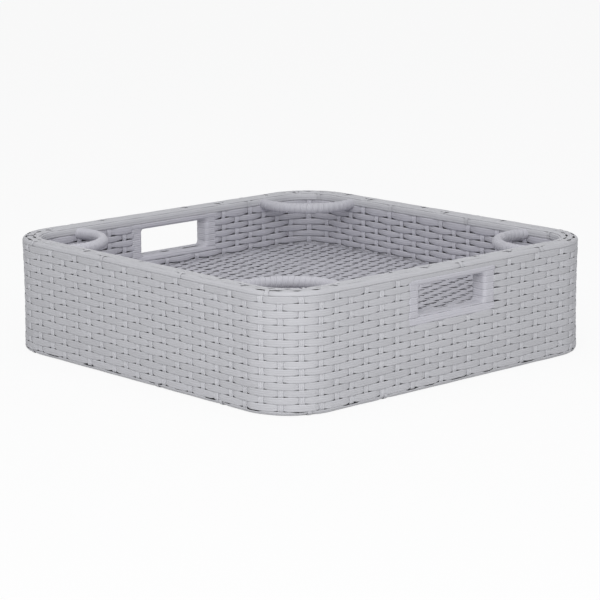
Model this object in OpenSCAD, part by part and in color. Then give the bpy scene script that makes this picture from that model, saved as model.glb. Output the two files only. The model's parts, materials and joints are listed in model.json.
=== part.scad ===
// Square floating tray woven from flat synthetic rattan over a tube frame.
// The origin is on the ground under the middle of the tray. X runs from the
// left grip hole to the right one, Y from the front wall to the rear wall.

/* [Tray] */
// Outer length of each side, measured over the rim
tray_side = 610; // [520:1:760]
// Overall height
tray_height = 165; // [150:1:200]
// Outer radius of the four upright corners
corner_radius = 80; // [74:1:110]
// Height of the upper face of the tray floor above the ground
floor_height = 84; // [78:1:90]
// How far the woven wall is drawn in at half its height
waist = 1.5; // [0:0.1:1.8]

/* [Frame] */
// Width of the rails, across the wall
rail_width = 19; // [16:0.5:22]
// Height of the rails
rail_height = 15; // [13:0.5:17]
// Width of the upright posts, along the wall
post_width = 15; // [12:0.5:18]
// Wall thickness of every frame tube
tube_wall = 1.5; // [1:0.1:2]
// Outer radius of the edges of the rails
tube_edge = 1.5; // [0.5:0.1:2]

/* [Weave] */
// Depth of the woven skin on the sides of the wall
skin_depth = 4.5; // [4.2:0.1:6]
// Depth of the woven skin over the rim and under the base
edge_depth = 3.5; // [3:0.1:5]
// How far a strand that passes over stands out from one that passes under
relief = 2; // [1:0.1:2.3]
// Height of one woven row
strand_pitch = 9.3; // [7:0.1:12]
// Distance between neighbouring upright strands
upright_pitch = 27.4; // [20:0.1:34]
// Width of an upright strand
upright_width = 7; // [5:0.5:9]
// Height of the laid strand on each side of the rim
rim_side = 11; // [9:0.5:14]
// Height of the laid strand round the foot of the wall
base_side = 8.5; // [8:0.5:12]
// Radius of the rounded edges of the rim and the base
rim_radius = 6.5; // [4:0.5:8]
// Width of the groove between two wound or laid strands
groove = 1; // [0.6:0.1:1.6]
// Depth of the groove between two wound or laid strands
groove_depth = 0.6; // [0.3:0.1:1]

/* [Grip holes] */
// Clear width of a grip hole
grip_width = 126; // [90:1:150]
// Clear height of a grip hole
grip_height = 40; // [34:0.5:42]
// Radius of the strand that is wound round the posts and bar of a grip hole
wrap_edge = 4; // [2.5:0.5:6]
// Thickness of the strand that is wound round the posts and bar of a grip hole
wrap_depth = 2.5; // [1.5:0.1:3]

/* [Cup rings] */
// Distance of a ring's centre from both outer wall faces at its corner
ring_inset = 51; // [44:1:60]
// Radius of the ring to the middle of its tube
ring_radius = 76; // [68:1:84]
// Diameter of the bent tube in a ring
ring_tube = 12; // [9:0.5:12]
// Depth of the strand that is wound round a ring's tube
ring_wrap = 2; // [1:0.1:3]
// Gap round a ring's tube where it passes through the weave
ring_clearance = 0.3; // [0.2:0.05:0.6]

/* [Floor and base] */
// Thickness of the woven floor
floor_depth = 4; // [3:0.1:5]
// Depth of the grooves between the strands of the floor and the base
floor_groove = 1.2; // [0.5:0.1:2]
// Strands between one slit in the floor and the next across the tray
slit_every = 6; // [6:2:12]
// Length of a slit in the woven floor
slit_length = 7; // [4:0.5:14]
// Width of a slit in the woven floor
slit_width = 2.4; // [1.5:0.1:4]
// Distance from the edge of the floor that the slits keep clear
slit_margin = 30; // [20:1:60]
// Height of the woven base above the ground
base_gap = 0.5; // [0.2:0.1:1]
// Gap between the edge of the floor and the wall around it
floor_gap = 0.5; // [0.3:0.1:1.5]
// Gap between the foam float and the frame around it
float_gap = 2; // [0.5:0.5:6]

/* [Hidden] */
$fn = 96;
// Round parts of small tubes
small_fn = 32;
// Cuts run past the faces that they open by this much
over = 1;
// The backing of the woven skin lies this far behind its lowest strands
backing = 0.3;

// Distance from the middle of the tray to a corner's centre
corner_at = tray_side / 2 - corner_radius;
// The wall is described by its distance r from a corner's centre
wall_depth = rail_width + 2 * skin_depth;
r_outer = corner_radius;
r_rail_out = r_outer - skin_depth;
r_rail_in = r_rail_out - rail_width;
r_inner = r_rail_in - skin_depth;

// Levels of the rails
rim_low = tray_height - edge_depth - rail_height;
weave_top = tray_height - rim_side;
base_top = edge_depth + rail_height;
floor_low = floor_height - floor_depth;
floor_rail_low = floor_low - rail_height;

// Woven rows
outer_rows = round((weave_top - base_side) / strand_pitch);
outer_row = (weave_top - base_side) / outer_rows;
inner_rows = round((weave_top - floor_low) / strand_pitch);
inner_row = (weave_top - floor_low) / inner_rows;
rim_strands = round(wall_depth / strand_pitch);
rim_strand = wall_depth / rim_strands;

// Grip holes
grip_top = rim_low - wrap_depth;
grip_low = grip_top - grip_height;
bar_top = grip_low - wrap_depth;
bar_low = bar_top - rail_height;
grip_base = bar_low - wrap_depth;
jamb_at = grip_width / 2 + wrap_depth;
grip_side = jamb_at + post_width + wrap_depth;

// Cup rings
ring_centre = tray_side / 2 - ring_inset;
ring_level = rim_low + rail_height / 2;

// Bearers under the floor and in the base
bearer_at = (corner_at + r_rail_in - rail_width) / 2;

// Rounded outline of the tray, where r is the distance of its edge from a corner's centre
module outline(r) {
    half = corner_at + r;
    square([2 * half, 2 * corner_at], center = true);
    square([2 * corner_at, 2 * half], center = true);
    for (x = [-1, 1], y = [-1, 1])
        translate([x * corner_at, y * corner_at])
            circle(r);
}

// Sweeps a section, drawn in r and height, once round the tray
module round_tray() {
    for (quarter = [0:3])
        rotate(90 * quarter) {
            translate([corner_at, corner_at, 0])
                rotate([90, 0, 0])
                    linear_extrude(2 * corner_at)
                        children();
            translate([corner_at, corner_at, 0])
                rotate_extrude(angle = 90)
                    children();
        }
}

// Rectangle with rounded edges, from its low corner
module rounded_box(size, radius) {
    translate([radius, 0])
        square([size[0] - 2 * radius, size[1]]);
    translate([0, radius])
        square([size[0], size[1] - 2 * radius]);
    for (x = [radius, size[0] - radius], y = [radius, size[1] - radius])
        translate([x, y])
            circle(radius, $fn = small_fn);
}

// Section of a rectangular tube
module tube_section(size) {
    difference() {
        rounded_box(size, tube_edge);
        translate([tube_wall, tube_wall])
            square([size[0] - 2 * tube_wall, size[1] - 2 * tube_wall]);
    }
}

// A loop of rail whose outer face is at r, with its underside at a level
module rail_loop(r, level) {
    color("silver")
        round_tray()
            translate([r - rail_width, level])
                tube_section([rail_width, rail_height]);
}

module top_rail() {
    rail_loop(r_rail_out, rim_low);
}

module bottom_rail() {
    rail_loop(r_rail_out, edge_depth);
}

module floor_rail() {
    rail_loop(r_rail_in, floor_rail_low);
}

// Round post in the corner that lies towards x and y
module corner_post(x, y) {
    reach = (r_rail_out + r_rail_in) / 2 * sqrt(0.5);
    color("silver")
        translate([x * (corner_at + reach), y * (corner_at + reach), base_top])
            difference() {
                cylinder(h = rim_low - base_top, d = rail_width);
                translate([0, 0, -over])
                    cylinder(h = rim_low - base_top + 2 * over, d = rail_width - 2 * tube_wall);
            }
}

// Upright rectangular post in the right-hand wall, from a distance along the wall
module wall_post(along) {
    color("silver")
        translate([corner_at + r_rail_in, along, base_top])
            linear_extrude(rim_low - base_top)
                tube_section([rail_width, post_width]);
}

module front_left_post() {
    corner_post(-1, -1);
}

module front_right_post() {
    corner_post(1, -1);
}

module rear_left_post() {
    corner_post(-1, 1);
}

module rear_right_post() {
    corner_post(1, 1);
}

module front_post() {
    rotate(-90)
        wall_post(-post_width / 2);
}

module rear_post() {
    rotate(90)
        wall_post(-post_width / 2);
}

module right_front_jamb() {
    wall_post(-jamb_at - post_width);
}

module right_rear_jamb() {
    wall_post(jamb_at);
}

module left_front_jamb() {
    rotate(180)
        wall_post(jamb_at);
}

module left_rear_jamb() {
    rotate(180)
        wall_post(-jamb_at - post_width);
}

// Bar under the grip hole in the right-hand wall
module grip_bar() {
    color("silver")
        translate([corner_at + r_rail_in, jamb_at, bar_low])
            rotate([90, 0, 0])
                linear_extrude(2 * jamb_at)
                    tube_section([rail_width, rail_height]);
}

module right_grip_bar() {
    grip_bar();
}

module left_grip_bar() {
    rotate(180)
        grip_bar();
}

// Cross bar between the inner faces of a rail loop
module bearer(half_span, y, level) {
    color("silver")
        translate([-half_span, y, level])
            rotate([90, 0, 90])
                linear_extrude(2 * half_span)
                    translate([-rail_height / 2, 0])
                        tube_section([rail_height, rail_height]);
}

module floor_bearer(y) {
    bearer(corner_at + r_rail_in - rail_width, y, floor_rail_low);
}

module base_bearer(y) {
    bearer(corner_at + r_rail_in, y, edge_depth);
}

module front_floor_bearer() {
    floor_bearer(-bearer_at);
}

module middle_floor_bearer() {
    floor_bearer(0);
}

module rear_floor_bearer() {
    floor_bearer(bearer_at);
}

module front_base_bearer() {
    base_bearer(-bearer_at);
}

module middle_base_bearer() {
    base_bearer(0);
}

module rear_base_bearer() {
    base_bearer(bearer_at);
}

// Slab of closed-cell foam that fills the space under the floor
module foam_float() {
    color("whitesmoke")
        translate([0, 0, base_top])
            linear_extrude(floor_rail_low - base_top)
                outline(r_rail_in - float_gap);
}

// Length of the outline whose edge is at r
function outline_length(r) = 8 * corner_at + 2 * PI * r;

// Number of upright strands on that outline, the same on each quarter
function upright_count(r) = 4 * round(outline_length(r) / (4 * upright_pitch));

// Point of the outline a distance s from the middle of its right-hand side, moved out
function outline_point(s, r, out) =
    let (quarter = outline_length(r) / 4,
         turn = floor(s / quarter + 0.5),
         t = s - turn * quarter,
         side = sign(t),
         angle = max(0, abs(t) - corner_at) / r * 180 / PI,
         x = corner_at + (r + out) * cos(angle),
         y = side * (min(abs(t), corner_at) + (r + out) * sin(angle)))
    [x * cos(90 * turn) - y * sin(90 * turn), x * sin(90 * turn) + y * cos(90 * turn)];

// Edge of one woven row. The strand passes in front of every other upright and
// behind those between, and neighbouring rows take turns.
module row_outline(row, r, low, high) {
    count = upright_count(r);
    step = outline_length(r) / count;
    polygon([for (i = [0:count - 1], side = [-0.5, 0.5])
        outline_point((i + 0.5) * step + side * upright_width, r,
                      (i + row) % 2 == 0 ? high : low)]);
}

// How far the wall is drawn in at a height
function drawn_in(z) = waist * (1 - pow(2 * z / tray_height - 1, 2));

// Windows that the grip holes need in the woven skins
module grip_windows() {
    for (side = [0, 180])
        rotate(side)
            translate([corner_at, -grip_side, grip_base])
                cube([r_outer + over, 2 * grip_side, rim_low - grip_base]);
}

// Holes through which the cup rings reach the top rail
module ring_holes() {
    for (corner = [0:3])
        between_walls(r_rail_in + over)
            ring_bow(corner, [0, ring_tube / 2 + ring_clearance]);
}

module outer_weave() {
    color("gainsboro")
        difference() {
            union() {
                translate([0, 0, base_side])
                    linear_extrude(weave_top - base_side)
                        outline(r_outer - relief - waist - backing);
                for (row = [0:outer_rows - 1]) {
                    z = base_side + row * outer_row;
                    inset = drawn_in(z + outer_row / 2);
                    translate([0, 0, z])
                        linear_extrude(outer_row)
                            row_outline(row, r_outer, -relief - inset, -inset);
                }
            }
            translate([0, 0, base_side - over])
                linear_extrude(weave_top - base_side + 2 * over)
                    outline(r_rail_out);
            grip_windows();
        }
}

module inner_weave() {
    color("lavender")
        difference() {
            translate([0, 0, floor_low])
                linear_extrude(weave_top - floor_low)
                    outline(r_rail_in);
            for (row = [0:inner_rows - 1])
                translate([0, 0, floor_low + row * inner_row])
                    linear_extrude(inner_row)
                        row_outline(row, r_inner, 0, relief);
            grip_windows();
            ring_holes();
        }
}

// Notch between two strands that lie side by side, cut down into the face at its mouth
module notch(depth) {
    polygon([[-groove, over], [groove, over], [0, -depth]]);
}

// Section of the strands laid over the rim
module rim_section() {
    difference() {
        translate([r_inner, weave_top - rim_radius])
            rounded_box([wall_depth, rim_side + rim_radius], rim_radius);
        translate([r_inner - over, weave_top - rim_radius])
            square([wall_depth + 2 * over, rim_radius]);
        translate([r_rail_in, weave_top - over])
            square([rail_width, rim_side - edge_depth + over]);
        for (i = [1:rim_strands - 1])
            translate([r_inner + i * rim_strand, tray_height])
                notch(groove_depth);
    }
}

module rim_weave() {
    color("gainsboro")
        difference() {
            round_tray()
                rim_section();
            ring_holes();
        }
}

// Section of the strands laid round the foot of the wall
module edge_section() {
    difference() {
        translate([r_inner, 0])
            rounded_box([wall_depth, base_side + rim_radius], rim_radius);
        translate([r_inner - over, base_side])
            square([wall_depth + 2 * over, rim_radius + over]);
        translate([r_inner - over, edge_depth])
            square([r_rail_out - r_inner + over, base_side]);
        for (i = [1:rim_strands - 1])
            translate([r_inner + i * rim_strand, 0])
                mirror([0, 1])
                    notch(groove_depth);
    }
}

module base_edge() {
    color("gainsboro")
        round_tray()
            edge_section();
}

// Number of strands across a flat woven panel whose edge is at r
function panel_count(r) = 2 * round((corner_at + r) / strand_pitch);

// Distance of strand line i from the middle of the panel
function panel_line(r, i) = (2 * i / panel_count(r) - 1) * (corner_at + r);

// Flat woven panel: strands lie side by side along Y, with a notch between each pair
module panel(r, depth) {
    half = corner_at + r;
    difference() {
        linear_extrude(depth)
            outline(r);
        for (i = [1:panel_count(r) - 1])
            translate([panel_line(r, i), half + over, depth])
                rotate([90, 0, 0])
                    linear_extrude(2 * half + 2 * over)
                        notch(floor_groove);
    }
}

// Slits beside the cross strands of the floor, each on the line between two strands
module floor_slits(r) {
    count = panel_count(r);
    rows = 2 * floor((corner_at + r - slit_margin) / upright_pitch / 2) + 1;
    for (row = [0:rows - 1])
        for (i = [slit_every * (1 + row % 2) / 2:slit_every:count - 1])
            translate([panel_line(r, i), (row - (rows - 1) / 2) * 2 * upright_pitch])
                square([slit_width, slit_length], center = true);
}

module floor_weave() {
    r = r_inner - floor_gap;
    color("lavender")
        translate([0, 0, floor_low])
            difference() {
                panel(r, floor_depth);
                translate([0, 0, -over])
                    linear_extrude(floor_depth + 2 * over)
                        floor_slits(r);
            }
}

module base_weave() {
    color("gainsboro")
        translate([0, 0, edge_depth])
            mirror([0, 0, 1])
                panel(r_inner - floor_gap, edge_depth - base_gap);
}

// Strand wound round a bar that stands on its low corner: turns with a neck between each pair
module wound(length, size) {
    turns = round(length / strand_pitch);
    turn = length / turns;
    neck = [size[0] - 2 * groove_depth, size[1] - 2 * groove_depth];
    translate([groove_depth, groove_depth, 0])
        linear_extrude(length)
            rounded_box(neck, wrap_edge - groove_depth);
    for (i = [0:turns - 1])
        translate([0, 0, i * turn])
            linear_extrude(i < turns - 1 ? turn - groove : turn)
                rounded_box(size, wrap_edge);
}

// Strands wound round the posts, the bar and the rail that frame a grip hole
module grip_wrap() {
    depth = rail_width + 2 * wrap_depth;
    from = corner_at + r_rail_in - wrap_depth;
    color("gainsboro")
        difference() {
            union() {
                for (y = [-grip_side, grip_width / 2])
                    translate([from, y, grip_base])
                        wound(rim_low - grip_base, [depth, post_width + 2 * wrap_depth]);
                translate([from, jamb_at, grip_base])
                    rotate([90, 0, 0])
                        wound(2 * jamb_at, [depth, rail_height + 2 * wrap_depth]);
                translate([from, jamb_at, grip_top])
                    rotate([90, 0, 0])
                        linear_extrude(2 * jamb_at)
                            intersection() {
                                rounded_box([depth, 4 * wrap_depth], wrap_depth);
                                square([depth, wrap_depth]);
                            }
            }
            for (y = [-jamb_at - post_width, jamb_at])
                translate([corner_at + r_rail_in, y, grip_base - over])
                    cube([rail_width, post_width, rim_low - grip_base + 2 * over]);
            translate([corner_at + r_rail_in, -jamb_at - over, bar_low])
                cube([rail_width, 2 * jamb_at + 2 * over, rail_height]);
        }
}

module right_grip_wrap() {
    grip_wrap();
}

module left_grip_wrap() {
    rotate(180)
        grip_wrap();
}

// Half circle of tube round a cup in one corner of the tray, from its inner and outer radius
module ring_bow(corner, radius) {
    rotate(90 * corner)
        translate([ring_centre, ring_centre, ring_level])
            rotate(135)
                rotate_extrude(angle = 180)
                    translate([ring_radius, 0])
                        difference() {
                            circle(radius[1], $fn = small_fn);
                            if (radius[0] > 0)
                                circle(radius[0], $fn = small_fn);
                        }
}

// Keeps what lies between the walls whose faces are at r
module between_walls(r) {
    half = corner_at + r;
    intersection() {
        children();
        translate([-half, -half, 0])
            cube([2 * half, 2 * half, tray_height]);
    }
}

// Bent tube of a cup ring, which meets the inner face of the top rail at both ends
module ring(corner) {
    color("silver")
        between_walls(r_rail_in)
            ring_bow(corner, [ring_tube / 2 - tube_wall, ring_tube / 2]);
}

// Strand wound round a cup ring between the two walls
module ring_winding(corner) {
    color("lavender")
        between_walls(r_inner)
            ring_bow(corner, [ring_tube / 2, ring_tube / 2 + ring_wrap]);
}

module front_left_ring() {
    ring(2);
}

module front_right_ring() {
    ring(3);
}

module rear_left_ring() {
    ring(1);
}

module rear_right_ring() {
    ring(0);
}

module front_left_ring_wrap() {
    ring_winding(2);
}

module front_right_ring_wrap() {
    ring_winding(3);
}

module rear_left_ring_wrap() {
    ring_winding(1);
}

module rear_right_ring_wrap() {
    ring_winding(0);
}

top_rail();
bottom_rail();
floor_rail();
front_left_post();
front_right_post();
rear_left_post();
rear_right_post();
front_post();
rear_post();
left_front_jamb();
left_rear_jamb();
right_front_jamb();
right_rear_jamb();
left_grip_bar();
right_grip_bar();
front_floor_bearer();
middle_floor_bearer();
rear_floor_bearer();
front_base_bearer();
middle_base_bearer();
rear_base_bearer();
foam_float();
outer_weave();
inner_weave();
rim_weave();
floor_weave();
base_edge();
base_weave();
left_grip_wrap();
right_grip_wrap();
front_left_ring();
front_right_ring();
rear_left_ring();
rear_right_ring();
front_left_ring_wrap();
front_right_ring_wrap();
rear_left_ring_wrap();
rear_right_ring_wrap();
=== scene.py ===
import json
import math

import bpy
import numpy as np
from mathutils import Matrix, Vector


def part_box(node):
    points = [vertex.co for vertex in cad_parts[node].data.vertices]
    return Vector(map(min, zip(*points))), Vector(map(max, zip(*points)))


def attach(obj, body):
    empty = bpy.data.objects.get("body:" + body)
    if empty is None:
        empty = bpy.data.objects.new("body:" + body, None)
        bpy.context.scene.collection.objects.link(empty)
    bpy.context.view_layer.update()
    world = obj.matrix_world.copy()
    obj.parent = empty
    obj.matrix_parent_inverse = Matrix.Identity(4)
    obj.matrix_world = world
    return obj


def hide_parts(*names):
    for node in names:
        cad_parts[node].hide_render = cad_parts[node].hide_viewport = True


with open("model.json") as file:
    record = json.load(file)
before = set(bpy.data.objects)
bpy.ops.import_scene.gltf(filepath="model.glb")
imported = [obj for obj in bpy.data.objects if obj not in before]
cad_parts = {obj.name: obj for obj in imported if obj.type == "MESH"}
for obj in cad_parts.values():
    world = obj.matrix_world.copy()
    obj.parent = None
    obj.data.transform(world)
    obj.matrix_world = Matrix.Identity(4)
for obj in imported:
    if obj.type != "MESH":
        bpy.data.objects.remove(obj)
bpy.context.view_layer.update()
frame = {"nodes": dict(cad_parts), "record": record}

# Sizes that the frame gives, in metres
RIM_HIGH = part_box("rim_weave")[1]
FOOT_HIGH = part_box("base_edge")[1]
FLOOR_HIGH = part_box("floor_weave")[1]
BASE_LOW, BASE_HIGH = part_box("base_weave")
GRIP_LOW, GRIP_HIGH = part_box("right_grip_wrap")
JAMB_LOW, JAMB_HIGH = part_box("right_rear_jamb")
BOW_LOW, BOW_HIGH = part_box("rear_right_ring")
HEIGHT = RIM_HIGH.z

# The tray's rounded outline: CORNER_AT places a corner's centre, and the wall's two faces lie at
# R_OUTER and R_INNER from it. The outer face is drawn in by WAIST half way up.
QUARTERS = 4
CORNER_RADIUS = 0.080
EDGE_RADIUS = 0.0065
WAIST = 0.0015
CORNER_AT = RIM_HIGH.x - CORNER_RADIUS
WALL_DEPTH = 2 * (RIM_HIGH.x - GRIP_HIGH.x) + GRIP_HIGH.x - GRIP_LOW.x
R_OUTER = CORNER_RADIUS
R_INNER = CORNER_RADIUS - WALL_DEPTH

# The right-hand grip hole: the sides of its frame of wound strand, and the edges of the hole in it
HOLE_HEIGHT = 0.040
GRIP_SIDE = GRIP_HIGH.y
WRAP_DEPTH = GRIP_SIDE - JAMB_HIGH.y
HOLE_SIDE = JAMB_LOW.y - WRAP_DEPTH
HOLE_TOP = GRIP_HIGH.z - WRAP_DEPTH
HOLE_LOW = HOLE_TOP - HOLE_HEIGHT
BAR_TOP = HOLE_LOW - WRAP_DEPTH

# Sizes of the strands, how far apart they lie, and how far out the middle of one is when its top is
# level with a face
STRAND_DEPTH = 0.0011
ROW_PITCH = 0.00945
INNER_ROW_PITCH = 0.0093
PANEL_ROW_PITCH = 0.0093
UPRIGHT_PITCH = 0.0274
UPRIGHT_WIDTH = 0.008
ON_FACE = -0.5 * STRAND_DEPTH

# Where the rows of the wall give way to the strands laid under the foot and along the rim
FOOT_LINE = 0.0064
TOP_LINE = 0.1578
INNER_TOP_LINE = 0.1528
# The lines between the rows of each side of the wall. The inner ones start below the floor.
OUTER_LINES = [FOOT_LINE + k * ROW_PITCH for k in range(16)] + [TOP_LINE]
INNER_LINES = [HOLE_LOW + k * INNER_ROW_PITCH for k in range(-3, 5)] + [INNER_TOP_LINE]
# The strands laid over a grip hole's bar reach down to the lip lines on the wall's faces, and those
# under the rim reach up to the head line
HEAD_HEIGHT = 0.0085
LIP_LINE = OUTER_LINES[9]
INNER_LIP_LINE = INNER_LINES[2]
HEAD_LINE = HOLE_TOP + HEAD_HEIGHT
# The lines between the turns of strand wound round the jambs, which go on from the rows beside them.
# The lowest turn is at least this high.
LEAST_TURN = 0.005
TURN_LINES = ([BAR_TOP]
              + [line for line in OUTER_LINES if BAR_TOP + LEAST_TURN < line < HOLE_TOP]
              + [GRIP_HIGH.z])

# How far the rows swing in and out round the uprights, and an upright's swing as a share of that
OUTER_SWING = 0.00085
INNER_SWING = 0.0014
PANEL_SWING = 0.001
UPRIGHT_SWING = 0.85
# Distances from an upright at which a row that dips behind it starts and ends its rise
OUTER_DIP = (0.0015, 0.0125)
INNER_DIP = (0.0, 0.0215)
PANEL_DIP = (0.0, 0.017)
# How far the lower edge of a strand lifts off the next one where it dips behind an upright
SLIT = 0.0015
# How far back the inner wall's lowest row lies, which mostly hides behind the floor's edge
SET_BACK = 0.0022
# Where the uprights of the outer wall lie, from the middle of the right-hand wall
OUTER_PHASE = -0.0093
# Where points lie along a row, from one upright to the next, on the walls and on flat panels
WALL_SHARES = (0, 0.12, 0.23, 0.33, 0.42, 0.5, 0.58, 0.67, 0.77, 0.88)
PANEL_SHARES = (0, 0.16, 0.33, 0.5, 0.67, 0.84)

# How much a weave strays from even: the lines between its rows, the places, bends and widths of its
# uprights, and the swings of its rows
LINE_STRAY = 0.0004
PLACE_STRAY = 0.0022
BEND = 0.0006
BEND_LENGTH = 0.3
WIDTHS = (0.93, 1.05)
SWINGS = (0.8, 1.1)
# A painted highlight that makes uprights paler than rows, though they are the same strand: it is added to a
# strand's own tint, which lies from -1 to 1
UPRIGHT_PAINTED_HIGHLIGHT = 3.0

# Cross sections of a flat strand: how far across it, from -1 to 1, and how far out, in strand depths
FLAT = np.array([(-1, 0.32), (-0.93, 0.45), (-0.45, 0.54), (0.4, 0.52), (0.88, 0.4), (1, 0.2),
                 (0, -0.5)])
PUFFY = np.array([(-1, -0.35), (-0.88, 0.28), (-0.48, 0.66), (0, 0.78), (0.48, 0.66), (0.88, 0.28),
                  (1, -0.35), (0, -0.6)])
LIGHT = np.array([(-1, -0.3), (-0.7, 0.42), (0.7, 0.42), (1, -0.3), (0, -0.5)])
WIDE = np.array([(-1, 0.15), (-0.93, 0.38), (-0.6, 0.48), (-0.2, 0.52), (0.2, 0.52), (0.6, 0.48),
                 (0.93, 0.38), (1, 0.15), (0, -0.5)])
RIBBED = np.array([(-1, -0.35), (-0.86, 0.4), (-0.67, 0.52), (-0.46, 0.38), (-0.33, 0.0), (-0.2, 0.36),
                   (0, 0.48), (0.2, 0.36), (0.33, 0.0), (0.46, 0.38), (0.67, 0.52), (0.86, 0.4),
                   (1, -0.35), (0, -0.5)])

# The seed keeps each run the same
rng = np.random.default_rng(24)


class Strands:
    """Collects strands, each a closed tube of four-sided faces, and makes them one mesh object."""

    def __init__(self, name):
        self.name = name
        self.count = 0
        self.points = []
        self.faces = []
        self.caps = []
        self.across = []
        self.along = []
        self.tint = []

    def add(self, place, along, across, out, half, section=FLAT, closed=False, tilt=0.0, tone=0.0):
        """A strand whose middle runs through along, across and out, which place turns into points."""
        along, across, out, half = np.broadcast_arrays(*(np.asarray(v, float)
                                                         for v in (along, across, out, half)))
        rings, sides = len(along), len(section)
        side = section[:, 0]
        a = np.repeat(along[:, None], sides, 1)
        b = across[:, None] + half[:, None] * side
        c = out[:, None] + STRAND_DEPTH * section[:, 1] + tilt * side
        points = place(a, b, c).reshape(-1, 3)
        ring = np.arange(rings if closed else rings - 1)[:, None]
        corner = np.arange(sides)[None, :]
        after = (ring + 1) % rings
        beside = (corner + 1) % sides
        faces = np.stack([ring * sides + corner, ring * sides + beside,
                          after * sides + beside, after * sides + corner], -1).reshape(-1, 4)
        inside_out = signed_volume(points, faces) < 0
        if inside_out:
            faces = faces[:, ::-1]
        if not closed:
            first = np.arange(sides)
            last = first + (rings - 1) * sides
            ends = (first, last[::-1]) if inside_out else (first[::-1], last)
            self.caps += [end + self.count for end in ends]
        self.points.append(points)
        self.faces.append(faces + self.count)
        self.across.append(np.tile(side, rings))
        self.along.append(np.repeat(run_length(points.reshape(rings, sides, 3)), sides))
        # tone adds to the strand's random tint; for the uprights it is a painted highlight
        self.tint.append(np.full(len(points), rng.uniform(-1, 1) + tone))
        self.count += len(points)

    def make(self, slot, node):
        """The mesh object of all strands, which rides on the tray and stands for the CAD node."""
        mesh = bpy.data.meshes.new(self.name)
        quads = np.concatenate(self.faces)
        corners = np.concatenate([quads.ravel()] + self.caps)
        sizes = np.concatenate([np.full(len(quads), 4)] + [[len(cap)] for cap in self.caps])
        mesh.vertices.add(self.count)
        mesh.vertices.foreach_set("co", np.concatenate(self.points).astype(np.float32).ravel())
        mesh.loops.add(len(corners))
        mesh.loops.foreach_set("vertex_index", corners.astype(np.int32))
        mesh.polygons.add(len(sizes))
        mesh.polygons.foreach_set("loop_start", (np.cumsum(sizes) - sizes).astype(np.int32))
        mesh.polygons.foreach_set("loop_total", sizes.astype(np.int32))
        mesh.polygons.foreach_set("use_smooth", np.ones(len(sizes), bool))
        for name, values in (("across", self.across), ("along", self.along), ("tint", self.tint)):
            attribute = mesh.attributes.new(name, "FLOAT", "POINT")
            attribute.data.foreach_set("value", np.concatenate(values).astype(np.float32))
        mesh.update()
        mesh.validate()
        mesh.materials.append(finishes[slot])
        piece = bpy.data.objects.new(self.name, mesh)
        bpy.context.scene.collection.objects.link(piece)
        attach(piece, "root")
        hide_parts(node)


def signed_volume(points, faces):
    """Volume inside the faces, which is negative where they point inwards."""
    a, b, c, d = (points[faces[:, i]] for i in range(4))
    return np.sum(np.cross(a, b) * c + np.cross(a, c) * d) / 6


def run_length(rings):
    """Distance along the strand to each of its rings."""
    middle = rings.mean(1)
    steps = np.linalg.norm(np.diff(middle, axis=0), axis=1)
    return np.concatenate([[0], np.cumsum(steps)])


def nothing(s):
    """No change anywhere along a strand."""
    return 0.0


def ramp(value, start, end):
    """0 before start and 1 after end, with a smooth rise between them."""
    t = np.clip((value - start) / (end - start), 0, 1)
    return t * t * (3 - 2 * t)


def wobble(length, size, waves=(3, 5, 8, 13)):
    """A smooth random function of the distance along a loop, which closes on itself."""
    phases = rng.uniform(0, 2 * math.pi, len(waves))
    sizes = rng.uniform(0.4, 1, len(waves)) * size / math.sqrt(len(waves))

    def at(s):
        return sum(k * np.sin(2 * math.pi * n * s / length + p) for n, k, p in zip(waves, sizes, phases))
    return at


def samples(start, end, step):
    """Even positions from start to end, about a step apart."""
    return np.linspace(start, end, max(2, round((end - start) / step) + 1))


def crossing_samples(start, end, step, shares, phase=0.0):
    """Positions at set shares of the way from each upright to the next, with none right beside the
    start or the end."""
    turns = np.arange(math.floor(start / step) - 1, math.ceil(end / step) + 1)
    s = ((turns[:, None] + np.array(shares)) * step).ravel() + phase
    beside = 0.2 * step * (shares[1] - shares[0])
    return np.concatenate([[start], s[(s > start + beside) & (s < end - beside)], [end]])


def outline_length(r):
    """Length of the tray's rounded outline, where r is its distance from a corner's centre."""
    return 8 * CORNER_AT + 2 * math.pi * r


def upright_count(length):
    """How many uprights stand along an outline: the same number on each quarter of it."""
    return QUARTERS * round(length / (QUARTERS * UPRIGHT_PITCH))


def in_quarter(s, r):
    """The quarter turn in which s lies, and its distance from the middle of the side there."""
    quarter = outline_length(r) / QUARTERS
    turn = np.floor(s / quarter + 0.5)
    return turn, s - turn * quarter


def in_corner(s, r):
    """0 on the straight walls and 1 in the rounded corners."""
    rise = 0.02
    t = np.abs(in_quarter(s, r)[1])
    return np.clip((t - CORNER_AT) / rise, 0, 1)


def outline(s, r, out):
    """Points at a distance s along the outline at r, from the middle of its right side, moved out."""
    turn, t = in_quarter(s, r)
    angle = np.maximum(0, np.abs(t) - CORNER_AT) / r
    x = CORNER_AT + (r + out) * np.cos(angle)
    y = np.sign(t) * (np.minimum(np.abs(t), CORNER_AT) + (r + out) * np.sin(angle))
    cos_turn = np.cos(turn * math.pi / 2)
    sin_turn = np.sin(turn * math.pi / 2)
    return x * cos_turn - y * sin_turn, x * sin_turn + y * cos_turn


def rounded_edge(z):
    """Turn, inset and true height of a level that runs on round the rim's edge or the foot's."""
    over = np.maximum(0, z - HEIGHT + EDGE_RADIUS) / EDGE_RADIUS
    under = np.maximum(0, EDGE_RADIUS - z) / EDGE_RADIUS
    turn = over - under
    straight = np.clip(z, EDGE_RADIUS, HEIGHT - EDGE_RADIUS)
    return turn, EDGE_RADIUS * (1 - np.cos(turn)), straight + EDGE_RADIUS * np.sin(turn)


def outer_wall(s, z, out):
    """The wall's outer face."""
    turn, inset, level = rounded_edge(z)
    inset = inset + WAIST * (1 - (2 * level / HEIGHT - 1) ** 2)
    x, y = outline(s, R_OUTER, out * np.cos(turn) - inset)
    return np.stack([x, y, level + out * np.sin(turn)], -1)


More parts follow.
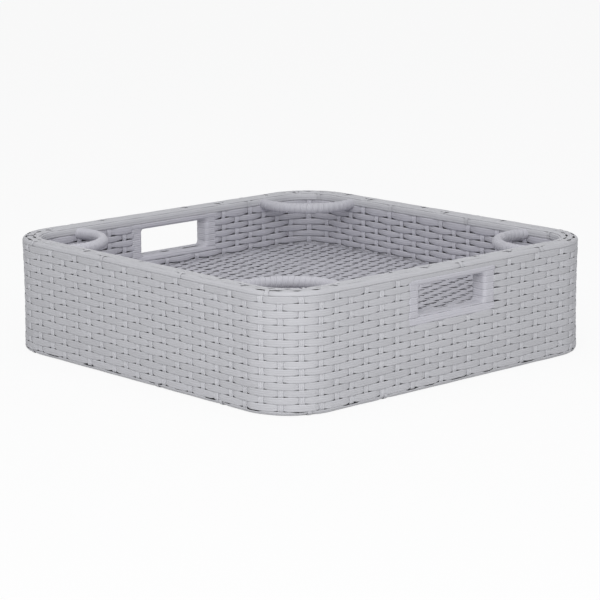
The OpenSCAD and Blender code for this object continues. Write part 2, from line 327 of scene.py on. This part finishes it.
def inner_wall(s, z, out):
    """The wall's inner face."""
    turn, inset, level = rounded_edge(z)
    x, y = outline(s, R_INNER, inset - out * np.cos(turn))
    return np.stack([x, y, level + out * np.sin(turn)], -1)


def floor_face(y, x, out):
    """The top of the tray's floor."""
    return np.stack([x, y, FLOOR_HIGH.z + out], -1)


def base_face(y, x, out):
    """The underside of the tray."""
    return np.stack([x, y, BASE_LOW.z - out], -1)


def swapped(place):
    """The same surface for strands that run the other way over it."""
    return lambda along, across, out: place(across, along, out)


def turned(place, angle):
    """The same surface turned round the vertical axis through the middle of the tray."""
    c, s = math.cos(angle), math.sin(angle)

    def placed(along, across, out):
        p = place(along, across, out)
        return np.stack([p[..., 0] * c - p[..., 1] * s, p[..., 0] * s + p[..., 1] * c, p[..., 2]], -1)
    return placed


def profile(corners, radii):
    """Rounded path through corner points in r and z: a function from the distance along it to points
    and outward normals, and its length."""
    pieces = []
    start = np.array(corners[0], float)
    for i in range(1, len(corners) - 1):
        before, here, after = (np.array(corners[j], float) for j in (i - 1, i, i + 1))
        into = (here - before) / np.linalg.norm(here - before)
        away = (after - here) / np.linalg.norm(after - here)
        turn = math.acos(np.clip(into @ away, -1, 1))
        back = radii[i - 1] * math.tan(turn / 2)
        pieces.append(("line", start, here - into * back))
        side = 1 if into[0] * away[1] - into[1] * away[0] > 0 else -1
        centre = here - into * back + radii[i - 1] * side * np.array([-into[1], into[0]])
        pieces.append(("arc", centre, radii[i - 1], into, turn, side))
        start = here + away * back
    pieces.append(("line", start, np.array(corners[-1], float)))
    lengths = [np.linalg.norm(p[2] - p[1]) if p[0] == "line" else p[2] * p[4] for p in pieces]
    starts = np.concatenate([[0], np.cumsum(lengths)])

    def at(t):
        t = np.asarray(t, float)
        point = np.zeros(t.shape + (2,))
        normal = np.zeros(t.shape + (2,))
        for k, piece in enumerate(pieces):
            here = (t >= starts[k]) | (k == 0)
            d = (t - starts[k])[..., None]
            if piece[0] == "line":
                way = piece[2] - piece[1]
                way = way / np.linalg.norm(way)
                p = piece[1] + d * way
                n = np.broadcast_to([way[1], -way[0]], p.shape)
            else:
                _, centre, radius, into, turn, side = piece
                a = np.clip(d, -1, radius * turn) / radius * side
                way = np.concatenate([into[0] * np.cos(a) - into[1] * np.sin(a),
                                      into[0] * np.sin(a) + into[1] * np.cos(a)], -1)
                n = np.stack([way[..., 1], -way[..., 0]], -1)
                p = centre + radius * side * n
            point = np.where(here[..., None], p, point)
            normal = np.where(here[..., None], n, normal)
        return point, normal
    return at, starts[-1]


def round_tray(at):
    """Surface that a profile in r and z sweeps round the tray."""
    def place(s, t, out):
        point, normal = at(t)
        x, y = outline(s, R_OUTER, point[..., 0] + out * normal[..., 0] - R_OUTER)
        return np.stack([x, y, point[..., 1] + out * normal[..., 1]], -1)
    return place


def along_y(at):
    """Surface that a profile in x and z sweeps along Y."""
    def place(y, t, out):
        point, normal = at(t)
        return np.stack([point[..., 0] + out * normal[..., 0], y + 0 * out,
                         point[..., 1] + out * normal[..., 1]], -1)
    return place


class Weave:
    """Plain weave over a surface: rows lie between levels and cross the uprights in turn."""

    def __init__(self, place, step, levels, count, swing, dip, section, phase=0.0, slit=lambda s: SLIT):
        self.place = place
        self.step = step
        self.levels = np.array(levels)
        self.count = count
        self.swing = swing
        self.dip = dip
        self.section = section
        self.phase = phase
        self.slit = slit
        self.middle = ON_FACE - swing
        length = count * step
        self.lines = [wobble(length, LINE_STRAY, (3, 8, 21, 34, 55)) for _ in levels]
        self.lines[0] = self.lines[-1] = np.zeros_like
        self.gain = [rng.uniform(*SWINGS, count) for _ in levels[1:]]
        self.drift = wobble(length, PLACE_STRAY, (4, 7, 11, 17))

    def upright_at(self, number):
        """Distance along the surface to an upright, which strays a little from its even place."""
        even = (number + 0.5) * self.step + self.phase
        return even + self.drift(even)

    def crossing(self, s, row):
        """1 where a row lies in front and -1 where it dips behind an upright."""
        turns = (s - self.phase - self.drift(s)) / self.step - 0.5 + row
        away = np.abs(turns % 2 - 1) * self.step
        return 2 * ramp(away, *self.dip) - 1

    def row(self, strands, row, s, closed=False, flat=nothing, drop=nothing, lift=nothing):
        """A row through s. It lies flat where flat(s) is 1, drop(s) sinks it, and lift(s) narrows it
        from below."""
        flat_crossing = 0.9
        c = self.crossing(s, row)
        c = c + (flat_crossing - c) * flat(s)
        gain = self.gain[row]
        swing = self.swing * np.interp((s / self.step) % self.count, np.arange(self.count + 1),
                                       np.append(gain, gain[0]))
        low = self.levels[row] + self.lines[row](s) + lift(s) + self.slit(s) * (1 - c) / 2
        high = self.levels[row + 1] + self.lines[row + 1](s)
        half = (high - low) / 2
        out = self.middle + swing * c - drop(s)
        strands.add(self.place, s, (low + high) / 2, out, half, self.section, closed=closed)

    def upright(self, strands, number, z, tuck=nothing, section=FLAT):
        """An upright through z, which is tucked in by a function of z."""
        s = self.upright_at(number) + wobble(BEND_LENGTH, BEND, (3, 7, 13))(z)
        place = np.interp(z, self.levels, np.arange(len(self.levels)))
        turns = place - 0.5 + number
        out = self.middle - UPRIGHT_SWING * self.swing * np.cos(math.pi * turns) - tuck(z)
        half = UPRIGHT_WIDTH / 2 * rng.uniform(*WIDTHS)
        # The uprights' tone is a painted highlight that makes them paler than the rows
        strands.add(swapped(self.place), z, s, out, half, section, tone=UPRIGHT_PAINTED_HIGHLIGHT)


def wall_weave(name, place, r, levels, lip, phase, swing, dip, section, slot, node, set_back=0.0):
    """Rows and uprights of one side of the wall, with a window for each grip hole from the lip up."""
    # The rows run this far behind the frame of each grip hole. They are sunk by this much there, and
    # back in their place this far out of the frame.
    row_overlap = 0.0035
    end_sink = 0.0011
    sunk_past = 0.0005
    # The rows over a grip hole turn flat within this distance of its frame's sides
    fade = 0.008
    # The uprights run on under the rim and the foot, or under the strands of the bar, and sink there
    run_on = 0.003
    lip_run_on = 0.001
    tuck_sink = 0.0018
    tuck_length = 0.0045
    points_a_row = 3.5

    length = outline_length(r)
    count = upright_count(length)
    step = length / count

    def slit(s):
        """Slits are half as high in the corners."""
        return SLIT * (1 - 0.5 * in_corner(s, r))

    weave = Weave(place, step, levels, count, swing, dip, section, phase, slit)
    half = length / 2
    behind = GRIP_SIDE - row_overlap

    def at_hole(s):
        """Distance along the wall from the middle of the nearer grip hole."""
        return np.abs((s + half / 2) % half - half / 2)

    def over_hole(s):
        """1 over the grip holes and 0 away from them."""
        return 1 - ramp(at_hole(s), GRIP_SIDE - fade, GRIP_SIDE + fade)

    def sunk_end(s):
        """How far the rows beside a grip hole sink."""
        return end_sink * (1 - ramp(at_hole(s), behind, GRIP_SIDE + sunk_past))

    strands = Strands(name + "_rows")
    all_round = crossing_samples(0, length, step, WALL_SHARES, phase)[:-1]
    for row, level in enumerate(levels[:-1]):
        if level > HOLE_TOP:
            rise = HEAD_LINE - level
            weave.row(strands, row, all_round, closed=True, flat=over_hole,
                      lift=lambda s: rise * over_hole(s))
        elif level < lip:
            back = set_back if level < FLOOR_HIGH.z else 0.0
            weave.row(strands, row, all_round, closed=True, drop=lambda s: back)
        else:
            for start in (behind, half + behind):
                s = crossing_samples(start, start + half - 2 * behind, step, WALL_SHARES, phase)
                weave.row(strands, row, s, drop=sunk_end)
    strands.make(slot, node)

    strands = Strands(name + "_uprights")
    low = levels[0]
    for number in range(count):
        blocked = at_hole(weave.upright_at(number)) < GRIP_SIDE + UPRIGHT_WIDTH / 2
        top = (lip + lip_run_on) if blocked else (levels[-1] + run_on)
        weave.upright(strands, number, samples(low - run_on, top, ROW_PITCH / points_a_row),
                      lambda z: (tuck_sink * ramp(z, top - tuck_length, top)
                                 + tuck_sink * ramp(-z, -low, run_on - low)), RIBBED)
    strands.make(slot, node)


def panel_weave(name, place, half, slot, node, section):
    """A flat woven panel with rounded corners: strands along Y over strands along X."""
    # The strands along Y bend down by this much over this last stretch, and those along X end short
    end_sink = 0.0012
    end_length = 0.006
    short = 0.0005
    points_a_row = 2.5
    r = half - CORNER_AT

    def reach(x):
        """How far the panel reaches in Y at a distance x from its middle."""
        past = max(0.0, x - CORNER_AT)
        return CORNER_AT + math.sqrt(max(r * r - past * past, 0)) if past > 0 else half

    rows = 2 * round(half / PANEL_ROW_PITCH)
    cross = 2 * round(half / UPRIGHT_PITCH)
    pitch = 2 * half / rows
    levels = [-half + k * pitch for k in range(rows + 1)]
    weave = Weave(place, UPRIGHT_PITCH, levels, cross, PANEL_SWING, PANEL_DIP, section)
    strands = Strands(name + "_strands")
    for row in range(rows):
        # Each row ends where the middle of its outer half meets the panel's edge
        x = -half + (row + 0.5) * pitch
        end = reach(abs(x) + pitch / 4)
        s = crossing_samples(-end, end, UPRIGHT_PITCH, PANEL_SHARES)
        weave.row(strands, row, s, drop=lambda s: end_sink * ramp(np.abs(s), end - end_length, end))
    strands.make(slot, node)

    strands = Strands(name + "_cross_strands")
    for number in range(-cross // 2, cross // 2):
        end = reach(abs(weave.upright_at(number)) + UPRIGHT_WIDTH / 2) - short
        weave.upright(strands, number, samples(-end, end, pitch / points_a_row))
    strands.make(slot, node)


def laid_strands(name, corners, short, gaps, every, node):
    """Strands laid side by side along the rim or the foot, with short strands that cross them.

    They fill the profile but for a short stretch at its end. For some of the lines between them, gaps
    gives how far they part at a distance s along the outline. A strand may cross each of them at one in
    so many of the uprights' places, which every gives."""
    lanes = 4
    points_a_step = 8
    width_share = 0.985
    # How far below the face the laid strands lie, and how much that and their edges stray
    sink = 0.0003
    sink_stray = 0.00015
    edge_stray = 0.0003
    # A laid strand dips by this much under a crossing one, up to the first of these distances from its
    # middle, and no more from the second
    dip = 0.0011
    dip_from, dip_to = 0.002, 0.013
    # How far the crossing strands stray, which share of them is there, and how far below the face
    cross_stray = 0.004
    cross_chance = 0.7
    cross_width = 0.8 * UPRIGHT_WIDTH
    cross_sink = 0.0001
    # They run on under the laid strands beside the one that they cross, and sink from this far inside
    # its edges to this far outside them
    cross_end = 0.003
    end_sink = 0.0017
    sink_in, sink_out = 0.0012, 0.002
    cross_spacing = 0.0012
    # They stay this far inside the profile's ends
    margin = 0.0002

    at, width = profile(corners, [EDGE_RADIUS, EDGE_RADIUS])
    place = round_tray(at)
    length = outline_length(R_OUTER)
    count = upright_count(length)
    step = length / count
    lane = (width - short) / lanes
    strands = Strands(name + "_strands")
    s = np.arange(count * points_a_step) * step / points_a_step
    lines = [wobble(length, edge_stray) for _ in range(lanes + 1)]
    lines[0] = lines[-1] = np.zeros_like
    crossings = [[(i + 0.5) * step + rng.uniform(-1, 1) * cross_stray for i in range(count)
                  if (i + 2 * j) % every == 0 and rng.random() < cross_chance] for j in range(lanes)]
    for j in range(lanes):
        low, high = j * lane + lines[j](s), (j + 1) * lane + lines[j + 1](s)
        if j in gaps:
            low = low + gaps[j](s, step)
        if j + 1 in gaps:
            high = high - gaps[j + 1](s, step)
        out = ON_FACE - sink + wobble(length, sink_stray, (20, 33, 47))(s)
        for middle in crossings[j]:
            away = np.abs((s - middle + length / 2) % length - length / 2)
            out = out - dip * (1 - ramp(away, dip_from, dip_to))
        strands.add(place, s, (low + high) / 2, out, (high - low) / 2 * width_share, WIDE, closed=True)
    for j in range(lanes):
        first, last = j * lane, (j + 1) * lane
        t = np.clip(samples(first - cross_end, last + cross_end, cross_spacing), margin, width - margin)
        sunk = end_sink * (1 - ramp(t, first - sink_out, first + sink_in)
                           + ramp(t, last - sink_in, last + sink_out))
        for middle in crossings[j]:
            strands.add(swapped(place), t, middle + 0 * t, ON_FACE - cross_sink - sunk, cross_width / 2)
    strands.make("strand_outside", node)


def rim():
    """Four strands side by side over the top of the wall, which part a little in the corners."""
    gap = 0.0021
    corners = [(R_OUTER, TOP_LINE), (R_OUTER, HEIGHT), (R_INNER, HEIGHT), (R_INNER, INNER_TOP_LINE)]

    def corner_gaps(phase):
        return lambda s, step: gap * np.cos(math.pi * (s / step + phase)) ** 4 * in_corner(s, R_OUTER)

    laid_strands("rim", corners, 0, {1: corner_gaps(0), 2: corner_gaps(0.5)}, 6, "rim_weave")


def foot():
    """Four strands side by side under the wall, the outer one narrower here and there."""
    gap = 0.0016
    loose_from, loose_to = 0.0, 0.5
    side = FOOT_HIGH.z
    corners = [(R_INNER, side), (R_INNER, 0), (R_OUTER, 0), (R_OUTER, side)]
    patches = wobble(outline_length(R_OUTER), 1.0, (20, 33, 47, 61))

    def loose(s, step):
        return gap * ramp(patches(s), loose_from, loose_to)

    laid_strands("foot", corners, side - FOOT_LINE, {4: loose}, 5, "base_edge")


# The frame of strand round a grip hole: how far it stands out of the wound posts and bar of the CAD
# model, and the radii of its edges towards the hole and under the rows beside it
GRIP_PROUD = 0.0006
GRIP_EDGE = 0.005
GRIP_HIDDEN_EDGE = 0.0022
GRIP_X = (GRIP_LOW.x - GRIP_PROUD, GRIP_HIGH.x + GRIP_PROUD)


def wound_jambs(strands, angle):
    """Strand wound round the posts on both sides of a grip hole, which widen at the hole's corners."""
    # Radius of the hole's corners
    fillet = 0.0045
    points_a_turn = 40
    # Turns are wider than their places by this factor, and lean this much, so that they lap
    overlap = 1.01
    lap = 0.00006
    x0, x1 = GRIP_X
    for side in (-1, 1):
        y0, y1 = side * HOLE_SIDE, side * GRIP_SIDE
        middle = (y0 + y1) / 2
        loop = [(x0, middle), (x0, y0), (x1, y0), (x1, y1), (x0, y1), (x0, middle)]
        radii = [GRIP_EDGE, GRIP_EDGE, GRIP_HIDDEN_EDGE, GRIP_HIDDEN_EDGE]
        at, around = profile(loop, radii) if side > 0 else profile(loop[::-1], radii[::-1])

        def jamb(t, z, out):
            point, normal = at(t % around)
            near = np.minimum(z - HOLE_LOW, HOLE_TOP - z)
            deep = np.clip(fillet - near, 0, fillet)
            flare = fillet - np.sqrt(fillet ** 2 - deep ** 2)
            y = point[..., 1] + out * normal[..., 1] - side * flare * np.maximum(0, -side * normal[..., 1])
            return np.stack([point[..., 0] + out * normal[..., 0], y, z + 0 * out], -1)

        t = samples(0, around, around / points_a_turn)[:-1]
        for low, high in zip(TURN_LINES[:-1], TURN_LINES[1:]):
            strands.add(turned(jamb, angle), t, (low + high) / 2, ON_FACE, (high - low) / 2 * overlap,
                        WIDE, closed=True, tilt=lap)


def laid_round_hole(strands, angle):
    """Strands laid along the bar under a grip hole and along the rail over it."""
    # The rail's strands stand this far out of the jambs', and reach this far over the rows above them
    proud = 0.0009
    reach = 0.0005
    x0, x1 = GRIP_X
    sill = [(x1, LIP_LINE), (x1, HOLE_LOW), (x0, HOLE_LOW), (x0, INNER_LIP_LINE)]
    head = [(x0 - proud, HEAD_LINE + reach), (x0 - proud, HOLE_TOP), (x1 + proud, HOLE_TOP),
            (x1 + proud, HEAD_LINE + reach)]
    # Where the lines between the strands lie, as shares of the way round the bar and the rail
    sill_lines = (0, 0.25, 0.46, 0.68, 1)
    head_lines = (0, 0.27, 0.5, 0.73, 1)
    # The bar's strands part at this line, by this much where a random function is at its greatest
    parted_line = 3
    parted_by = 0.002
    loose_length = 0.4
    loose_from, loose_to = 0.1, 0.4
    # All strands are tucked in at the frame's sides, where they run on a little, and the middle ones
    # under the jambs
    end_tuck = 0.0005
    end_length = 0.003
    run_on = 0.001
    jamb_tuck = 0.0013
    tuck_out, tuck_in = 0.001, 0.003
    bend = 0.0002
    width_share = 0.99
    spacing = 0.003

    loose = wobble(loose_length, 1.0, (5, 8, 13))
    for corners, lines, parted in ((sill, sill_lines, parted_line), (head, head_lines, None)):
        at, width = profile(corners, [GRIP_EDGE] * 2)
        y = samples(-GRIP_SIDE - run_on, GRIP_SIDE + run_on, spacing)
        gap = parted_by * ramp(loose(y), loose_from, loose_to)
        for j in range(len(lines) - 1):
            low, high = lines[j] * width + 0 * y, lines[j + 1] * width + 0 * y
            if j + 1 == parted:
                high = high - gap
            if j == parted:
                low = low + gap
            tucked = end_tuck * ramp(np.abs(y), GRIP_SIDE - end_length, GRIP_SIDE)
            if 0 < j < len(lines) - 2:
                tucked = tucked + jamb_tuck * ramp(np.abs(y), HOLE_SIDE - tuck_out, HOLE_SIDE + tuck_in)
            across = (low + high) / 2 + wobble(BEND_LENGTH, bend)(y)
            strands.add(turned(along_y(at), angle), y, across, ON_FACE - tucked,
                        (high - low) / 2 * width_share, WIDE)


def grip_hole(name, angle, node):
    """Strands round a grip hole: wound on both jambs, and laid along the bar below and the rail above."""
    strands = Strands(name)
    wound_jambs(strands, angle)
    laid_round_hole(strands, angle)
    strands.make("strand_wound", node)


def ring(name, corner, node):
    """Strand wound round the bent tube of one cup ring."""
    # The tube is bent round a centre this far in from the tray's sides, and points to the tray's middle
    inset = 0.051
    bow_radius = 0.076
    inward = 1.25 * math.pi
    wrap_depth = 0.002
    # The strand runs on into the wall by this much, and its turns lie about this far apart
    run_on = 0.004
    pitch = 0.0083
    points_a_turn = 32
    # Turns are wider than their places by this factor, and lean this much, so that they lap
    overlap = 1.03
    lap = 0.0002

    centre = RIM_HIGH.x - inset
    level = (BOW_LOW.z + BOW_HIGH.z) / 2
    tube_radius = (BOW_HIGH.z - BOW_LOW.z) / 2
    wall = CORNER_AT + R_INNER
    first = math.pi - math.asin((wall - centre) / bow_radius)
    sweep = 2 * (inward - first)
    spare = run_on / bow_radius
    turns = round(bow_radius * sweep / pitch)

    def bow(around, theta, out):
        tube = tube_radius + wrap_depth + out
        r = bow_radius + tube * np.cos(around)
        return np.stack([centre + r * np.cos(theta), centre + r * np.sin(theta),
                         level + tube * np.sin(around)], -1)

    around = samples(0, 2 * math.pi * (turns + 1), 2 * math.pi / points_a_turn)
    theta = first - spare + (sweep + 2 * spare) * (around / around[-1])
    half = (sweep + 2 * spare) / turns / 2 * overlap
    strands = Strands(name)
    strands.add(turned(bow, corner * math.pi / 2), around, theta, ON_FACE, half, WIDE, tilt=lap)
    strands.make("strand_wound", node)


def strand_material(name, color, groove):
    """Matte synthetic rattan: three ribs along each strand, with crests painted lighter and valleys darker
    as painted highlight and shade, fine streaks, paler edges painted as highlights, and a tone for each
    strand."""
    # How far each of these lightens or darkens the strand, as a share of its colour
    by_tint, by_streaks, by_rib_light_and_shade, by_edge_highlight = 0.035, 0.22, 0.02, 0.07
    # How tightly the streaks lie along and across a strand, and how far each strand's differ
    streaks_along, streaks_across, streaks_apart = 45.0, 5.0, 90.0
    streak_height = 0.00025

    material = bpy.data.materials.new(name)
    material.use_nodes = True
    nodes, links = material.node_tree.nodes, material.node_tree.links
    shader = nodes["Principled BSDF"]
    shader.inputs["Specular IOR Level"].default_value = 0.32

    def math_node(kind, *values):
        node = nodes.new("ShaderNodeMath")
        node.operation = kind
        for socket, value in zip(node.inputs, values):
            if isinstance(value, (int, float)):
                socket.default_value = value
            else:
                links.new(value, socket)
        return node.outputs[0]

    def attribute(key):
        node = nodes.new("ShaderNodeAttribute")
        node.attribute_name = key
        return node.outputs["Fac"]

    across, along, tint = attribute("across"), attribute("along"), attribute("tint")
    place = nodes.new("ShaderNodeCombineXYZ")
    links.new(math_node("MULTIPLY", along, streaks_along), place.inputs["X"])
    links.new(math_node("MULTIPLY", across, streaks_across), place.inputs["Y"])
    links.new(math_node("MULTIPLY", tint, streaks_apart), place.inputs["Z"])
    streaks = nodes.new("ShaderNodeTexNoise")
    streaks.inputs["Scale"].default_value = 1.0
    streaks.inputs["Detail"].default_value = 5.0
    streaks.inputs["Roughness"].default_value = 0.6
    links.new(place.outputs[0], streaks.inputs["Vector"])

    # The ribs' bump is real; their colour, paler on the crests and darker in the valleys, is painted
    # highlight and painted shade
    ribs = math_node("COSINE", math_node("MULTIPLY", across, 3 * math.pi))
    # Painted highlight: the strand's edges are made paler, as if light caught their rounded edges
    painted_edge_highlight = nodes.new("ShaderNodeMapRange")
    painted_edge_highlight.interpolation_type = "SMOOTHSTEP"
    painted_edge_highlight.inputs["From Min"].default_value = 0.7
    painted_edge_highlight.inputs["From Max"].default_value = 0.95
    links.new(math_node("ABSOLUTE", across), painted_edge_highlight.inputs["Value"])
    uneven = math_node("SUBTRACT", streaks.outputs["Fac"], 0.5)
    tone = math_node("ADD", math_node("MULTIPLY", tint, by_tint),
                     math_node("MULTIPLY", uneven, by_streaks))
    tone = math_node("ADD", tone, math_node("MULTIPLY", ribs, by_rib_light_and_shade))
    tone = math_node("ADD", tone, math_node("MULTIPLY", painted_edge_highlight.outputs["Result"], by_edge_highlight))
    scaled = nodes.new("ShaderNodeVectorMath")
    scaled.operation = "SCALE"
    scaled.inputs[0].default_value = color
    links.new(math_node("ADD", tone, 1.0), scaled.inputs["Scale"])
    links.new(scaled.outputs[0], shader.inputs["Base Color"])
    rough = math_node("ADD", math_node("MULTIPLY", streaks.outputs["Fac"], 0.25), 0.42)
    links.new(rough, shader.inputs["Roughness"])

    height = math_node("ADD", math_node("MULTIPLY", ribs, groove),
                       math_node("MULTIPLY", streaks.outputs["Fac"], streak_height))
    bump = nodes.new("ShaderNodeBump")
    bump.inputs["Strength"].default_value = 0.8
    bump.inputs["Distance"].default_value = 1.0
    links.new(height, bump.inputs["Height"])
    links.new(bump.outputs[0], shader.inputs["Normal"])
    return material


def grain_material(name, color, scale, spread, roughness):
    """Tube or closed-cell foam: a fine even grain. The tube's dark colour is painted shade for the gaps
    between strands.
    """
    material = bpy.data.materials.new(name)
    material.use_nodes = True
    nodes, links = material.node_tree.nodes, material.node_tree.links
    shader = nodes["Principled BSDF"]
    shader.inputs["Roughness"].default_value = roughness
    place = nodes.new("ShaderNodeTexCoord")
    noise = nodes.new("ShaderNodeTexNoise")
    noise.inputs["Scale"].default_value = scale
    noise.inputs["Detail"].default_value = 4.0
    links.new(place.outputs["Object"], noise.inputs["Vector"])
    shades = nodes.new("ShaderNodeValToRGB")
    for element, gain in zip(shades.color_ramp.elements, (1 - spread, 1 + spread)):
        element.color = tuple(min(1.0, c * gain) for c in color) + (1.0,)
    links.new(noise.outputs["Fac"], shades.inputs[0])
    links.new(shades.outputs[0], shader.inputs["Base Color"])
    bump = nodes.new("ShaderNodeBump")
    bump.inputs["Strength"].default_value = 0.3
    bump.inputs["Distance"].default_value = 0.0003
    links.new(noise.outputs["Fac"], bump.inputs["Height"])
    links.new(bump.outputs[0], shader.inputs["Normal"])
    return material


def dress_frame():
    """Gives the tubes their dark colour, which is painted shade seen through the gaps between strands, and
    the foam float its finish.
    """
    for part in frame["record"]["subparts"]:
        slot = part["material_slot"]
        if slot in ("frame_tube", "foam"):
            node = frame["nodes"][part["node"]]
            node.data.materials.clear()
            node.data.materials.append(finishes[slot])


def bearing(azimuth, elevation):
    """Unit vector from the tray towards a place seen at angles in radians, round from the front."""
    return Vector((math.sin(azimuth) * math.cos(elevation), -math.cos(azimuth) * math.cos(elevation),
                   math.sin(elevation)))


def camera():
    """The photo's view: from the front right, a little above the rim, through a long lens."""
    azimuth, elevation, roll = math.radians(47.26), math.radians(12.0), math.radians(-0.31)
    distance = 3.423
    target_right, target_up = 0.0007, 0.0692
    sensor, focal_length = 36.0, 142.56
    back = bearing(azimuth, elevation)
    right = Vector((math.cos(azimuth), math.sin(azimuth), 0))
    up = back.cross(right)
    target = right * target_right + Vector((0, 0, target_up))
    across = right * math.cos(roll) + up * math.sin(roll)
    upward = up * math.cos(roll) - right * math.sin(roll)
    data = bpy.data.cameras.new("camera")
    data.sensor_width = sensor
    data.lens = focal_length
    data.clip_start, data.clip_end = 0.1, 100
    made = bpy.data.objects.new("camera", data)
    turn = Matrix((across, upward, back)).transposed().to_4x4()
    made.matrix_world = Matrix.Translation(target + back * distance) @ turn
    bpy.context.scene.collection.objects.link(made)
    bpy.context.scene.camera = made


def area_light(name, azimuth, elevation, distance, size, power):
    """A soft square lamp that looks at the tray from angles in degrees."""
    data = bpy.data.lights.new(name, "AREA")
    data.size = size
    data.energy = power
    lamp = bpy.data.objects.new(name, data)
    back = bearing(math.radians(azimuth), math.radians(elevation))
    lamp.location = back * distance + Vector((0, 0, HEIGHT / 2))
    lamp.rotation_mode = "QUATERNION"
    lamp.rotation_quaternion = back.to_track_quat("Z", "Y")
    bpy.context.scene.collection.objects.link(lamp)


def seen_directly(nodes, links):
    """1 for rays from the camera, in reflections and through glass, and 0 for light that falls on things."""
    path = nodes.new("ShaderNodeLightPath")
    total = path.outputs["Is Camera Ray"]
    for kind in ("Is Glossy Ray", "Is Transmission Ray"):
        either = nodes.new("ShaderNodeMath")
        either.operation = "MAXIMUM"
        links.new(total, either.inputs[0])
        links.new(path.outputs[kind], either.inputs[1])
        total = either.outputs[0]
    return total


def background():
    """A white background, with dimmer soft light from all round."""
    lit, seen = ((0.97, 0.98, 1.0), 0.42), ((1, 1, 1), 1.0)
    world = bpy.data.worlds.new("studio")
    world.use_nodes = True
    nodes, links = world.node_tree.nodes, world.node_tree.links
    nodes.clear()
    mix = nodes.new("ShaderNodeMixShader")
    for socket, (color, strength) in ((1, lit), (2, seen)):
        sky = nodes.new("ShaderNodeBackground")
        sky.inputs["Color"].default_value = color + (1,)
        sky.inputs["Strength"].default_value = strength
        links.new(sky.outputs[0], mix.inputs[socket])
    links.new(seen_directly(nodes, links), mix.inputs[0])
    links.new(mix.outputs[0], nodes.new("ShaderNodeOutputWorld").inputs[0])
    bpy.context.scene.world = world


def ground():
    """A white floor that takes a faint shadow."""
    half = 6.0
    glow_share = 0.9
    mesh = bpy.data.meshes.new("studio_floor")
    mesh.from_pydata([(-half, -half, 0), (half, -half, 0), (half, half, 0), (-half, half, 0)], [],
                     [(0, 1, 2, 3)])
    floor = bpy.data.objects.new("studio_floor", mesh)
    bpy.context.scene.collection.objects.link(floor)
    material = bpy.data.materials.new("studio_floor")
    material.use_nodes = True
    nodes, links = material.node_tree.nodes, material.node_tree.links
    shader = nodes["Principled BSDF"]
    shader.inputs["Base Color"].default_value = (0.8, 0.8, 0.8, 1)
    shader.inputs["Roughness"].default_value = 0.9
    glow = nodes.new("ShaderNodeEmission")
    glow.inputs["Strength"].default_value = 1.0
    mix = nodes.new("ShaderNodeMixShader")
    share = nodes.new("ShaderNodeMath")
    share.operation = "MULTIPLY"
    share.inputs[1].default_value = glow_share
    links.new(seen_directly(nodes, links), share.inputs[0])
    links.new(share.outputs[0], mix.inputs[0])
    links.new(shader.outputs[0], mix.inputs[1])
    links.new(glow.outputs[0], mix.inputs[2])
    links.new(mix.outputs[0], nodes["Material Output"].inputs[0])
    mesh.materials.append(material)


def studio():
    """White floor and background, soft light from all round and two large lamps."""
    bpy.context.scene.view_settings.view_transform = "Standard"
    background()
    ground()
    area_light("key_lamp", azimuth=46, elevation=30, distance=3.2, size=2.0, power=52)
    area_light("top_lamp", azimuth=0, elevation=88, distance=3.0, size=3.0, power=24)


# A strand's finish has a colour and the depth of its ribs, and a grained one has a colour, the scale
# and the spread of its grain, and a roughness
finishes = {
    "strand_outside": strand_material("strand_outside", (0.52, 0.52, 0.545), 0.00012),
    "strand_inside": strand_material("strand_inside", (0.48, 0.475, 0.52), 0.00012),
    "strand_wound": strand_material("strand_wound", (0.54, 0.535, 0.58), 0.00016),
    # The tubes' dark colour is painted shade: it darkens the gaps between the strands, where the tubes show
    # through
    "frame_tube": grain_material("frame_tube", (0.11, 0.11, 0.115), 900, 0.15, 0.55),
    "foam": grain_material("foam", (0.62, 0.62, 0.60), 500, 0.08, 0.8),
}

camera()
studio()
dress_frame()
wall_weave("outer_wall", outer_wall, R_OUTER, OUTER_LINES, LIP_LINE, OUTER_PHASE, OUTER_SWING, OUTER_DIP,
           FLAT, "strand_outside", "outer_weave")
wall_weave("inner_wall", inner_wall, R_INNER, INNER_LINES, INNER_LIP_LINE, 0.0, INNER_SWING, INNER_DIP,
           PUFFY, "strand_inside", "inner_weave", SET_BACK)
rim()
foot()
panel_weave("floor", floor_face, FLOOR_HIGH.x, "strand_inside", "floor_weave", FLAT)
panel_weave("base", base_face, BASE_HIGH.x, "strand_outside", "base_weave", LIGHT)
grip_hole("right_grip_strands", 0, "right_grip_wrap")
grip_hole("left_grip_strands", math.pi, "left_grip_wrap")
for corner, name in enumerate(("rear_right", "rear_left", "front_left", "front_right")):
    ring(name + "_ring_strand", corner, name + "_ring_wrap")
